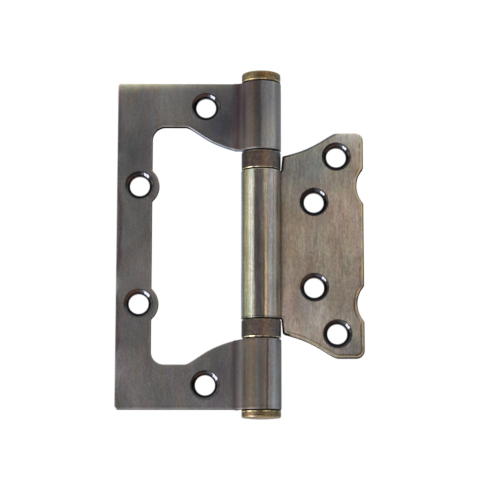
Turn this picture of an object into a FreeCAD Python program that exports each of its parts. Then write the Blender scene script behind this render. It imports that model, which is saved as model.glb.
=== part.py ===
import FreeCAD, Part
import math
import os

# ---------------------------------------------------------------------------
# Butterfly hinge, opened flat.  Millimetres.
# Frame: origin on the pin axis at mid height, +Z up along the pin,
# leaves in the XZ plane, countersunk faces towards -Y,
# frame leaf towards -X, door leaf towards +X.
# ---------------------------------------------------------------------------
V = FreeCAD.Vector

# sheet
T = 2.5                     # sheet thickness of both leaves
H = T / 2.0                 # the sheet is centred on the pin axis
LEAF_H = 100.0              # height of the frame leaf and of the barrel
FRAME_W = 43.95             # frame leaf, pin axis to outer edge
DOOR_W = 31.15              # door leaf, pin axis to outer edge
DOOR_Z = 34.6               # half height of the door leaf at its outer edge

# barrel
KN_R = 6.1                  # knuckle outer radius
BORE_R = KN_R - T           # rolled bore
PIN_R = 3.55                # running clearance 0.05 in the bore
FRAME_KN = 28.9             # the end knuckles reach from +-50 to +-28.9
DOOR_KN = 22.65             # the centre knuckle reaches to +-22.65
FRAME_BEND = 4.0            # inner radius of the frame leaf's joggle
DOOR_BEND = 2.0             # inner radius of the door leaf's joggle
SEAM_GAP = 0.25             # gap between the roll's end and the sheet
SEAM_ROUND = 0.35           # rounded outer corner of the roll's end

# frame leaf window, upper half (x, z); the lower half mirrors it
WIN_X = 33.27
WIN_Z = 36.5
WIN_R = 4.0
ARM = [(-23.3, 36.5), (-21.02, 35.6), (-18.45, 33.9), (-15.7, 32.2),
       (-12.43, 30.7), (-9.08, 29.58), (-6.5, 29.08), (-4.84, FRAME_KN)]
BOSS_R = 6.0                # bosses round the outer screw holes
FRAME_CORNER = 0.8

# door leaf, upper half (x, z)
NOTCH_IN = 6.2              # the notch beside the casing slants from here
NOTCH_X = 6.66              # to here
NOTCH_Z = 27.35
NOTCH_R = 0.6
BROW = [(7.27, 27.5), (8.83, 27.92), (11.89, 28.88), (14.95, 30.18),
        (18.01, 31.84), (20.92, 33.65), (22.0, 34.22), (22.94, 34.52), (24.1, DOOR_Z)]
DOOR_CORNER = 2.4
SCALLOP_R = 8.0             # scallops clear the bosses when the leaves nest
SCALLOP_X = 37.1
SCALLOP_Z = 18.1
SCALLOP_BLEND = 1.2

# screw holes: through hole and 90 degree countersink on the front
HOLE_R = 3.0
CSK_R = 4.3
FRAME_HOLES = [(-16.92, 42.66), (-37.1, 18.1)]
DOOR_HOLES = [(16.07, 13.1), (22.97, 27.2)]

# bearing, heights from its lower knuckle face
BRG_H = FRAME_KN - DOOR_KN
CASE_R = 6.0
CASE_BORE = 5.6
CASE_GAP = 0.4              # dark gap between casing and knuckle
LIP_R = 5.05
LIP_T = 0.45
CASE_ROUND = 0.38
RACE_IN = 3.75
RACE_BOSS = 4.95
BALL_R = 0.9
BALL_PCR = 4.6
BALL_N = 15
GROOVE_R = 0.93
RACE_HALF = 0.55            # race face to ball centre

# buttons at both ends of the barrel
CAP_R = 5.95
CAP_WALL = 2.6
PLUG_WALL = 1.9
CAP_DOME = 0.35
CAP_EDGE = 0.6
CAP_CHAMFER = 0.35
PLUG_LEN = 6.0
PIN_END = 44.0              # the pin's shaft ends at z = -44, on the plug

os.makedirs("parts", exist_ok=True)


def save(shape, name):
    shape.exportStep("parts/%s.step" % name)
    print("%-28s %3d solid(s) %10.3f mm3 valid=%s" % (name, len(shape.Solids), shape.Volume, shape.isValid()))


def pol(r, a):
    return V(r * math.cos(math.radians(a)), r * math.sin(math.radians(a)), 0)


def arc3(c, r, a0, a1):
    """Arc about c from angle a0 to a1 (degrees), either way round."""
    return Part.Arc(c + pol(r, a0), c + pol(r, (a0 + a1) / 2.0), c + pol(r, a1)).toShape()


def rolled_section(width, bend_in):
    """Section of a leaf in XY: a flat sheet along -X that rises over a joggle
    into a knuckle rolled over the front (-Y) and round to the back."""
    rm = KN_R - H                                  # mid radius of the roll
    r2 = bend_in + H                               # mid radius of the joggle
    x1 = math.sqrt(rm * rm + 2 * rm * r2)          # where the flat sheet ends
    c = V(-x1, -r2, 0)
    d = rm + r2
    ab = math.degrees(math.atan2(-r2, -x1))        # direction of the joggle's centre
    far = r2 + H + SEAM_GAP
    turn = math.degrees(math.acos((d * d + KN_R ** 2 - far * far) / (2 * d * KN_R)))
    end = ab + 360.0 - turn                        # where the roll stops
    o = V(0, 0, 0)
    # front: flat, concave arc, outer circle
    back_a = math.degrees(math.atan2(r2, x1))      # from c towards the axis
    p0 = V(-width, -H, 0)
    p1 = V(-x1, -H, 0)
    e = [Part.LineSegment(p0, p1).toShape()]
    e.append(arc3(c, bend_in, 90.0, back_a))
    # rounded outer corner of the roll's end
    da = math.degrees(SEAM_ROUND / (KN_R - SEAM_ROUND))
    e.append(Part.Arc(pol(KN_R, ab), pol(KN_R, (ab + end - da) / 2.0), pol(KN_R, end - da)).toShape())
    cc = pol(KN_R - SEAM_ROUND, end - da)
    pe = pol(math.cos(math.radians(da)) * (KN_R - SEAM_ROUND), end)
    mid = cc + (pol(1, end - da) + pol(1, end - da + 90)).normalize() * SEAM_ROUND
    tip = cc + pol(SEAM_ROUND, end + 90 - 0.0)
    e.append(Part.Arc(pol(KN_R, end - da), mid, tip).toShape())
    e.append(Part.LineSegment(tip, pol(BORE_R, end)).toShape())
    e.append(Part.Arc(pol(BORE_R, end), pol(BORE_R, (ab + end) / 2.0), pol(BORE_R, ab)).toShape())
    e.append(arc3(c, r2 + H, back_a, 90.0))
    e.append(Part.LineSegment(V(-x1, H, 0), V(-width, H, 0)).toShape())
    e.append(Part.LineSegment(V(-width, H, 0), p0).toShape())
    w = Part.Wire(e)
    return Part.Face(w), x1


def prism_y(wire, y0, y1):
    """Plan outline in XZ, extruded along Y."""
    f = Part.Face(wire)
    f.translate(V(0, y0, 0))
    return f.extrude(V(0, y1 - y0, 0))


def seg(a, b):
    return Part.LineSegment(V(a[0], 0, a[1]), V(b[0], 0, b[1])).toShape()


def spline(pts, t0, t1):
    s = Part.BSplineCurve()
    s.interpolate(Points=[V(x, 0, z) for x, z in pts], InitialTangent=V(t0[0], 0, t0[1]), FinalTangent=V(t1[0], 0, t1[1]))
    return s.toShape()


def round_corners(solid, at, r):
    """Fillet the edges parallel to Y that stand at the given (x, z)."""
    es = []
    for ed in solid.Edges:
        if len(ed.Vertexes) != 2:
            continue
        a, b = ed.Vertexes[0].Point, ed.Vertexes[1].Point
        if abs(a.x - b.x) < 1e-6 and abs(a.z - b.z) < 1e-6:
            if any(math.hypot(a.x - x, a.z - z) < 0.05 for x, z in at):
                es.append(ed)
    return solid.makeFillet(r, es)


def countersunk(holes):
    """Tools for the screw holes, both rows."""
    out = []
    for x, z in holes:
        for s in (1, -1):
            out.append(Part.makeCylinder(HOLE_R, T + 2, V(x, -H - 1, s * z), V(0, 1, 0)))
            deep = CSK_R - HOLE_R
            out.append(Part.makeCone(CSK_R + 0.5, HOLE_R - 0.05, deep + 0.55, V(x, -H - 0.5, s * z), V(0, 1, 0)))
    return out


def cut_all(shape, tools):
    return shape.cut(Part.makeCompound(tools)) if len(tools) == 1 else shape.cut(tools[0].multiFuse(tools[1:]))


# ---------------------------------------------------------------------------
# frame leaf
# ---------------------------------------------------------------------------
sec, frame_x1 = rolled_section(FRAME_W, FRAME_BEND)
body = sec.extrude(V(0, 0, LEAF_H))
body.translate(V(0, 0, -LEAF_H / 2))

# outer outline
Z5 = LEAF_H / 2
outer = Part.Wire([seg((-FRAME_W, -Z5), (8, -Z5)), seg((8, -Z5), (8, Z5)), seg((8, Z5), (-FRAME_W, Z5)), seg((-FRAME_W, Z5), (-FRAME_W, -Z5))])
plan = prism_y(outer, -8, 8)
plan = round_corners(plan, [(-FRAME_W, Z5), (-FRAME_W, -Z5)], FRAME_CORNER)

# window
up = spline(ARM, (1, 0), (1, -0.08))
lo = spline([(x, -z) for x, z in ARM], (1, 0), (1, 0.08))
ax, az = ARM[0]
bx, bz = ARM[-1]
we = [seg((-WIN_X, -WIN_Z), (-WIN_X, WIN_Z)), seg((-WIN_X, WIN_Z), (ax, WIN_Z)), up,
      seg((bx, bz), (9, bz)), seg((9, bz), (9, -bz)), seg((9, -bz), (bx, -bz)), lo,
      seg((ax, -WIN_Z), (-WIN_X, -WIN_Z))]
win = prism_y(Part.Wire(Part.__sortEdges__(we)), -9, 9)
win = round_corners(win, [(-WIN_X, WIN_Z), (-WIN_X, -WIN_Z)], WIN_R)
hx, hz = FRAME_HOLES[1]
for s in (1, -1):
    boss = Part.makeCylinder(BOSS_R, 20, V(hx, -10, s * hz), V(0, 1, 0))
    win = win.cut(boss)
half = math.sqrt(BOSS_R ** 2 - (hx + WIN_X) ** 2)
win = round_corners(win, [(-WIN_X, s * (hz + k * half)) for s in (1, -1) for k in (1, -1)], 0.8)
plan = plan.cut(win)
frame_leaf = body.common(plan)
frame_leaf = cut_all(frame_leaf, countersunk(FRAME_HOLES))
if len(frame_leaf.Solids) == 1:
    frame_leaf = frame_leaf.Solids[0]


save(frame_leaf, "frame_leaf")

# ---------------------------------------------------------------------------
# door leaf: the same roll, turned half a turn about the pin
# ---------------------------------------------------------------------------
sec, door_x1 = rolled_section(DOOR_W, DOOR_BEND)
sec.rotate(V(0, 0, 0), V(0, 0, 1), 180)
body = sec.extrude(V(0, 0, 2 * DOOR_Z))
body.translate(V(0, 0, -DOOR_Z))

up = spline(BROW, (1, 0.2), (1, 0))
lo = spline([(x, -z) for x, z in BROW], (1, -0.2), (1, 0))
k0 = BROW[0]
k1 = BROW[-1]
oe = [seg((-9, -DOOR_KN), (-9, DOOR_KN)), seg((-9, DOOR_KN), (NOTCH_IN, DOOR_KN)), seg((NOTCH_IN, DOOR_KN), (NOTCH_X, NOTCH_Z)),
      seg((NOTCH_X, NOTCH_Z), k0), up, seg(k1, (DOOR_W, DOOR_Z)), seg((DOOR_W, DOOR_Z), (DOOR_W, -DOOR_Z)),
      seg((DOOR_W, -DOOR_Z), (k1[0], -k1[1])), lo, seg((k0[0], -k0[1]), (NOTCH_X, -NOTCH_Z)),
      seg((NOTCH_X, -NOTCH_Z), (NOTCH_IN, -DOOR_KN)), seg((NOTCH_IN, -DOOR_KN), (-9, -DOOR_KN))]
plan = prism_y(Part.Wire(Part.__sortEdges__(oe)), -8, 8)
plan = round_corners(plan, [(DOOR_W, DOOR_Z), (DOOR_W, -DOOR_Z)], DOOR_CORNER)
plan = round_corners(plan, [(NOTCH_X, NOTCH_Z), (NOTCH_X, -NOTCH_Z)], NOTCH_R * 0.6)
for s in (1, -1):
    plan = plan.cut(Part.makeCylinder(SCALLOP_R, 20, V(SCALLOP_X, -10, s * SCALLOP_Z), V(0, 1, 0)))
half = math.sqrt(SCALLOP_R ** 2 - (SCALLOP_X - DOOR_W) ** 2)
plan = round_corners(plan, [(DOOR_W, s * (SCALLOP_Z + k * half)) for s in (1, -1) for k in (1, -1)], SCALLOP_BLEND)
door_leaf = body.common(plan)
door_leaf = cut_all(door_leaf, countersunk(DOOR_HOLES))
if len(door_leaf.Solids) == 1:
    door_leaf = door_leaf.Solids[0]
save(door_leaf, "door_leaf")


# ---------------------------------------------------------------------------
# turned pieces
# ---------------------------------------------------------------------------
def turned(pts_or_edges):
    """Turn a closed (r, z) outline about the pin axis."""
    w = Part.Wire(pts_or_edges)
    return Part.Face(w).revolve(V(0, 0, 0), V(0, 0, 1), 360)


def rz(r, z):
    return V(r, 0, z)


def line(a, b):
    return Part.LineSegment(a, b).toShape()


def arc(a, m, b):
    return Part.Arc(a, m, b).toShape()


def button(wall, dome, edge, z0, up, shaft_r, shaft_end):
    """Button with a rounded edge and a low dome, on a shaft.  up is +1 or -1."""
    s = up
    k = math.sqrt(0.5)
    top = wall + edge
    rr = CAP_R - edge
    apex = top + dome
    # low dome through (rr, top) and (0, apex)
    R = (rr * rr + dome * dome) / (2 * dome)
    xm = rr * 0.5
    zm = apex - (R - math.sqrt(R * R - xm * xm))
    e = [line(rz(0, z0 + s * apex), rz(0, shaft_end)),
         line(rz(0, shaft_end), rz(shaft_r - 0.4, shaft_end)),
         line(rz(shaft_r - 0.4, shaft_end), rz(shaft_r, shaft_end + s * 0.4)),
         line(rz(shaft_r, shaft_end + s * 0.4), rz(shaft_r, z0)),
         line(rz(shaft_r, z0), rz(CAP_R - CAP_CHAMFER, z0)),
         line(rz(CAP_R - CAP_CHAMFER, z0), rz(CAP_R, z0 + s * CAP_CHAMFER)),
         line(rz(CAP_R, z0 + s * CAP_CHAMFER), rz(CAP_R, z0 + s * wall)),
         arc(rz(CAP_R, z0 + s * wall), rz(rr + edge * k, z0 + s * (wall + edge * k)), rz(rr, z0 + s * top)),
         arc(rz(rr, z0 + s * top), rz(xm, z0 + s * zm), rz(0, z0 + s * apex))]
    return turned(e)


save(button(CAP_WALL, CAP_DOME, CAP_EDGE, Z5, 1, PIN_R, -PIN_END), "pin")
save(button(PLUG_WALL, CAP_DOME, CAP_EDGE, -Z5, -1, BORE_R, -PIN_END), "bottom_plug")


def casing(z0):
    """Thin crimped ring with an inward lip at each end."""
    a, b = z0 + CASE_GAP, z0 + BRG_H - CASE_GAP
    c = CASE_ROUND
    k = math.sqrt(0.5)
    e = [line(rz(LIP_R, a), rz(CASE_R - c, a)),
         arc(rz(CASE_R - c, a), rz(CASE_R - c + c * k, a + c - c * k), rz(CASE_R, a + c)),
         line(rz(CASE_R, a + c), rz(CASE_R, b - c)),
         arc(rz(CASE_R, b - c), rz(CASE_R - c + c * k, b - c + c * k), rz(CASE_R - c, b)),
         line(rz(CASE_R - c, b), rz(LIP_R, b)),
         line(rz(LIP_R, b), rz(LIP_R, b - LIP_T)),
         line(rz(LIP_R, b - LIP_T), rz(CASE_BORE, b - LIP_T)),
         line(rz(CASE_BORE, b - LIP_T), rz(CASE_BORE, a + LIP_T)),
         line(rz(CASE_BORE, a + LIP_T), rz(LIP_R, a + LIP_T)),
         line(rz(LIP_R, a + LIP_T), rz(LIP_R, a))]
    return turned(e)


def race(z0, up, tight):
    """Stepped washer with a ball groove; up=+1 for the lower race."""
    s = up
    zb = z0 if up > 0 else z0 + BRG_H             # face on the knuckle
    zc = z0 + BRG_H / 2                           # ball centres
    zf = zc - s * RACE_HALF                       # face with the groove
    rf = CASE_BORE if tight else CASE_BORE - 0.08
    zs = zb + s * (CASE_GAP + LIP_T + (0.0 if tight else 0.06))
    g = math.sqrt(GROOVE_R ** 2 - RACE_HALF ** 2)
    e = [line(rz(RACE_IN, zb), rz(RACE_BOSS, zb)),
         line(rz(RACE_BOSS, zb), rz(RACE_BOSS, zs)),
         line(rz(RACE_BOSS, zs), rz(rf, zs)),
         line(rz(rf, zs), rz(rf, zf)),
         line(rz(rf, zf), rz(BALL_PCR + g, zf)),
         arc(rz(BALL_PCR + g, zf), rz(BALL_PCR, zc - s * GROOVE_R), rz(BALL_PCR - g, zf)),
         line(rz(BALL_PCR - g, zf), rz(RACE_IN, zf)),
         line(rz(RACE_IN, zf), rz(RACE_IN, zb))]
    return turned(e)


def balls(z0):
    out = []
    for i in range(BALL_N):
        a = 360.0 * i / BALL_N
        p = pol(BALL_PCR, a)
        out.append(Part.makeSphere(BALL_R, V(p.x, p.y, z0 + BRG_H / 2)))
    return Part.makeCompound(out)


for nm, z0 in (("upper", DOOR_KN), ("lower", -FRAME_KN)):
    save(casing(z0), nm + "_bearing_casing")
    save(race(z0, 1, True), nm + "_bearing_lower_race")
    save(race(z0, -1, False), nm + "_bearing_upper_race")
    save(balls(z0), nm + "_bearing_balls")
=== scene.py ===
import math

import bpy
import numpy as np
from mathutils import Matrix, Vector
from mathutils.geometry import delaunay_2d_cdt


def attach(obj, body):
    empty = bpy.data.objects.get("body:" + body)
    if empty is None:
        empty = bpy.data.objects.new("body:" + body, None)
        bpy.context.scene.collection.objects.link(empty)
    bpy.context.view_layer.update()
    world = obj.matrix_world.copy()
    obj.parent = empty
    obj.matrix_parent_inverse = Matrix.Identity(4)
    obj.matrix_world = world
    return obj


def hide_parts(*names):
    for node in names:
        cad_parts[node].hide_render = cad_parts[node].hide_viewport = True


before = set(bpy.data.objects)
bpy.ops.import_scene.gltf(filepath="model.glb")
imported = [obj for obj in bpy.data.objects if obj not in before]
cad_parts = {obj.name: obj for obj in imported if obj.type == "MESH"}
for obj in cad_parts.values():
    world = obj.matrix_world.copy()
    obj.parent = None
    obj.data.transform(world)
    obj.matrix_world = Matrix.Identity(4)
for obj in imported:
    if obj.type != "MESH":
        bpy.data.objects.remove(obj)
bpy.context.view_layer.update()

MM = 0.001

# ---------------------------------------------------------------------------
# dimensions in millimetres, the same as the construction's
# ---------------------------------------------------------------------------
T = 2.5
H = T / 2
KN_R = 6.1
LEAF_Z = 50.0
FRAME_W, DOOR_W, DOOR_Z = 43.95, 31.15, 34.6
FRAME_KN, DOOR_KN = 28.9, 22.65
FRAME_BEND, DOOR_BEND = 4.0, 2.0
SEAM_GAP = 0.25
WIN_X, WIN_Z, WIN_R = 33.27, 36.5, 4.0
ARM = [(-23.3, 36.5), (-21.02, 35.6), (-18.45, 33.9), (-15.7, 32.2),
       (-12.43, 30.7), (-9.08, 29.58), (-6.5, 29.08), (-4.84, FRAME_KN)]
BOSS_R = 6.0
NOTCH_IN, NOTCH_X, NOTCH_Z = 6.33, 6.70, 27.35
BROW = [(7.27, 27.5), (8.83, 27.92), (11.89, 28.88), (14.95, 30.18),
        (18.01, 31.84), (20.92, 33.65), (22.0, 34.22), (22.94, 34.52), (24.1, DOOR_Z)]
DOOR_CORNER = 2.4
SCALLOP_R, SCALLOP_X, SCALLOP_Z, SCALLOP_BLEND = 8.0, 37.1, 18.1, 1.2
HOLE_R, CSK_R = 3.0, 4.3
FRAME_HOLES = [(-16.92, 42.66), (-37.1, 18.1)]
DOOR_HOLES = [(16.07, 13.1), (22.97, 27.2)]

DIE = 0.26          # tight part of the front edge rolled over by the punch
ROLL_A, ROLL_L = 0.125, 0.62    # its long soft part: drop at the edge, and how far it reaches
BACK = 0.12         # break of the back edge
GUARD = 0.06
STEP = 0.28         # sampling of curved outlines


# ---------------------------------------------------------------------------
# small 2D helpers
# ---------------------------------------------------------------------------
def arc_pts(c, r, a0, a1, step=None, least=7):
    n = max(least, int(abs(a1 - a0) * r / (step or STEP)) + 1)
    return [(c[0] + r * math.cos(a0 + (a1 - a0) * i / n), c[1] + r * math.sin(a0 + (a1 - a0) * i / n)) for i in range(n + 1)]


def line_pts(a, b, step):
    d = math.hypot(b[0] - a[0], b[1] - a[1])
    n = max(1, int(math.ceil(d / step)))
    return [(a[0] + (b[0] - a[0]) * i / n, a[1] + (b[1] - a[1]) * i / n) for i in range(n + 1)]


def spline_pts(pts, t0, t1, per=14):
    """Smooth curve through points (natural chord-length cubic with end tangents)."""
    p = np.array(pts, float)
    d = np.hypot(*(p[1:] - p[:-1]).T)
    s = np.concatenate([[0], np.cumsum(d)])
    n = len(p)
    a = np.zeros((n, n))
    r = np.zeros((n, 2))
    t0 = np.array(t0, float) / np.hypot(*t0)
    t1 = np.array(t1, float) / np.hypot(*t1)
    a[0, 0] = a[-1, -1] = 1
    r[0], r[-1] = t0, t1
    for i in range(1, n - 1):
        h0, h1 = d[i - 1], d[i]
        a[i, i - 1], a[i, i], a[i, i + 1] = h1, 2 * (h0 + h1), h0
        r[i] = 3 * (h0 * (p[i + 1] - p[i]) / h1 + h1 * (p[i] - p[i - 1]) / h0)
    m = np.linalg.solve(a, r)
    out = []
    for i in range(n - 1):
        k = max(2, int(d[i] / STEP))
        for j in range(k):
            x = j / k
            h = d[i]
            out.append((2 * x**3 - 3 * x**2 + 1) * p[i] + (x**3 - 2 * x**2 + x) * h * m[i]
                       + (-2 * x**3 + 3 * x**2) * p[i + 1] + (x**3 - x**2) * h * m[i + 1])
    out.append(p[-1])
    return [tuple(q) for q in out]


def corner(prev, at, nxt, r):
    """Points of a rounded corner between two straight edges."""
    a = np.array(prev, float) - at
    b = np.array(nxt, float) - at
    a /= np.hypot(*a)
    b /= np.hypot(*b)
    half = math.acos(np.clip(a @ b, -1, 1)) / 2
    t = r / math.tan(half)
    m = a + b
    m /= np.hypot(*m)
    c = np.array(at) + m * (r / math.sin(half))
    p0 = np.array(at) + a * t - c
    p1 = np.array(at) + b * t - c
    a0, a1 = math.atan2(p0[1], p0[0]), math.atan2(p1[1], p1[0])
    while a1 - a0 > math.pi:
        a1 -= 2 * math.pi
    while a1 - a0 < -math.pi:
        a1 += 2 * math.pi
    return arc_pts(c, r, a0, a1, least=8)


def bump_arc(x, c, r, rho, up=1):
    """Where an edge x = const meets a circle about c, blended by a fillet of radius rho
    that lies on the +X side of the edge: the run from below the circle to above it."""
    xf = x + rho
    dz = math.sqrt((r + rho) ** 2 - (xf - c[0]) ** 2)
    f0, f1 = np.array([xf, c[1] - dz]), np.array([xf, c[1] + dz])
    k0 = math.atan2(f0[1] - c[1], f0[0] - c[0])
    k1 = math.atan2(f1[1] - c[1], f1[0] - c[0])
    # fillet below: from the edge (pointing -X from f0) round to the circle
    low = arc_pts(f0, rho, math.pi, k0 + math.pi, least=6)
    mid = arc_pts(c, r, k0, k1)
    top = arc_pts(f1, rho, k1 - math.pi, -math.pi, least=6)
    return low, mid, top


def tidy(pts, eps=1e-4):
    out = [pts[0]]
    for p in pts[1:]:
        if math.hypot(p[0] - out[-1][0], p[1] - out[-1][1]) > eps:
            out.append(p)
    if math.hypot(out[0][0] - out[-1][0], out[0][1] - out[-1][1]) <= eps:
        out.pop()
    return np.array(out, float)


def normals_in(p):
    """Unit mitre direction times 1/cos, pointing to the left of travel."""
    e = np.roll(p, -1, 0) - p
    e /= np.maximum(np.hypot(*e.T)[:, None], 1e-12)
    n = np.stack([-e[:, 1], e[:, 0]], 1)
    m = n + np.roll(n, 1, 0)
    m /= np.maximum(np.hypot(*m.T)[:, None], 1e-12)
    c = (m * n).sum(1)
    return m / np.maximum(c, 0.35)[:, None]


def inside(poly, q):
    """Points q inside a polygon."""
    x, y = q[:, 0], q[:, 1]
    res = np.zeros(len(q), bool)
    a = poly
    b = np.roll(poly, -1, 0)
    for (x0, y0), (x1, y1) in zip(a, b):
        hit = (y0 > y) != (y1 > y)
        if not hit.any():
            continue
        xx = (x1 - x0) * (y - y0) / (y1 - y0 + 1e-300) + x0
        res ^= hit & (x < xx)
    return res


def dist_to(poly, q, closed=True):
    a = poly if closed else poly[:-1]
    b = np.roll(poly, -1, 0) if closed else poly[1:]
    best = np.full(len(q), 1e9)
    for i in range(0, len(a), 64):
        aa, bb = a[i:i + 64], b[i:i + 64]
        d = bb - aa
        l2 = np.maximum((d * d).sum(1), 1e-18)
        t = ((q[:, None] - aa) * d).sum(2) / l2
        t = np.clip(t, 0, 1)
        w = q[:, None] - aa - t[..., None] * d
        best = np.minimum(best, np.sqrt((w * w).sum(2)).min(1))
    return best


def edge_dir(poly, q):
    """Outward normal (in plan) of the outline's nearest stretch, for each point."""
    a, b = poly, np.roll(poly, -1, 0)
    d = b - a
    n = np.stack([d[:, 1], -d[:, 0]], 1)
    n /= np.maximum(np.hypot(*n.T)[:, None], 1e-12)
    mid = (a + b) / 2
    best = np.full(len(q), 1e9)
    out = np.zeros((len(q), 2))
    for i in range(0, len(mid), 128):
        dd = ((q[:, None] - mid[i:i + 128]) ** 2).sum(2)
        k = dd.argmin(1)
        v = dd[np.arange(len(q)), k]
        better = v < best
        best[better] = v[better]
        out[better] = n[i:i + 128][k[better]]
    return out


def smooth01(x):
    x = np.clip(x, 0, 1)
    return x * x * (3 - 2 * x)


# ---------------------------------------------------------------------------
# a rolled leaf: flat sheet, joggle and knuckle, mapped from the unrolled sheet
# ---------------------------------------------------------------------------
class Roll:
    def __init__(self, bend_in):
        self.rm = KN_R - H
        self.r2 = bend_in + H
        self.x1 = math.sqrt(self.rm**2 + 2 * self.rm * self.r2)
        self.back = math.atan2(self.r2, self.x1)
        self.phi = math.pi / 2 - self.back
        self.ub = self.x1 - self.r2 * self.phi
        self.ab = math.atan2(-self.r2, -self.x1)
        d = self.rm + self.r2
        far = self.r2 + H + SEAM_GAP
        turn = math.acos((d * d + KN_R**2 - far * far) / (2 * d * KN_R))
        self.span = 2 * math.pi - turn
        self.uend = self.ub - self.rm * self.span

    def place(self, u, w, z):
        """u: distance along the mid line (falls towards the roll's end), w: offset, z: height."""
        u, w, z = np.broadcast_arrays(np.asarray(u, float), np.asarray(w, float), np.asarray(z, float))
        out = np.zeros(u.shape + (3,))
        out[..., 2] = z
        flat = u >= self.x1
        bend = (u < self.x1) & (u >= self.ub)
        ring = u < self.ub
        out[flat, 0] = -u[flat]
        out[flat, 1] = w[flat]
        f = math.pi / 2 - (self.x1 - u[bend]) / self.r2
        r = self.r2 + w[bend]
        out[bend, 0] = -self.x1 + r * np.cos(f)
        out[bend, 1] = -self.r2 + r * np.sin(f)
        th = self.ab + (self.ub - u[ring]) / self.rm
        r = self.rm - w[ring]
        out[ring, 0] = r * np.cos(th)
        out[ring, 1] = r * np.sin(th)
        return out

    def u_of_x(self, x):
        """Unrolled X (= -u) of a point of the mid line with plan coordinate x, before the knuckle."""
        if x <= -self.x1:
            return x
        f = math.acos(np.clip((x + self.x1) / self.r2, -1, 1))
        return -(self.x1 - self.r2 * (math.pi / 2 - f))


def ripple(u, z, seed, amp):
    """Slow waviness of rolled sheet, in millimetres of offset."""
    rng = np.random.default_rng(seed)
    out = np.zeros(np.broadcast(u, z).shape)
    for k in range(14):
        lu = rng.uniform(3.0, 12.0)
        lz = rng.uniform(10.0, 60.0)
        a = rng.uniform(0.4, 1.0) * amp * (lu / 12.0)
        out = out + a * np.sin(2 * math.pi * (u / lu + rng.uniform(-1, 1) * z / lz) + rng.uniform(0, 6.28))
    return out


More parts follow.
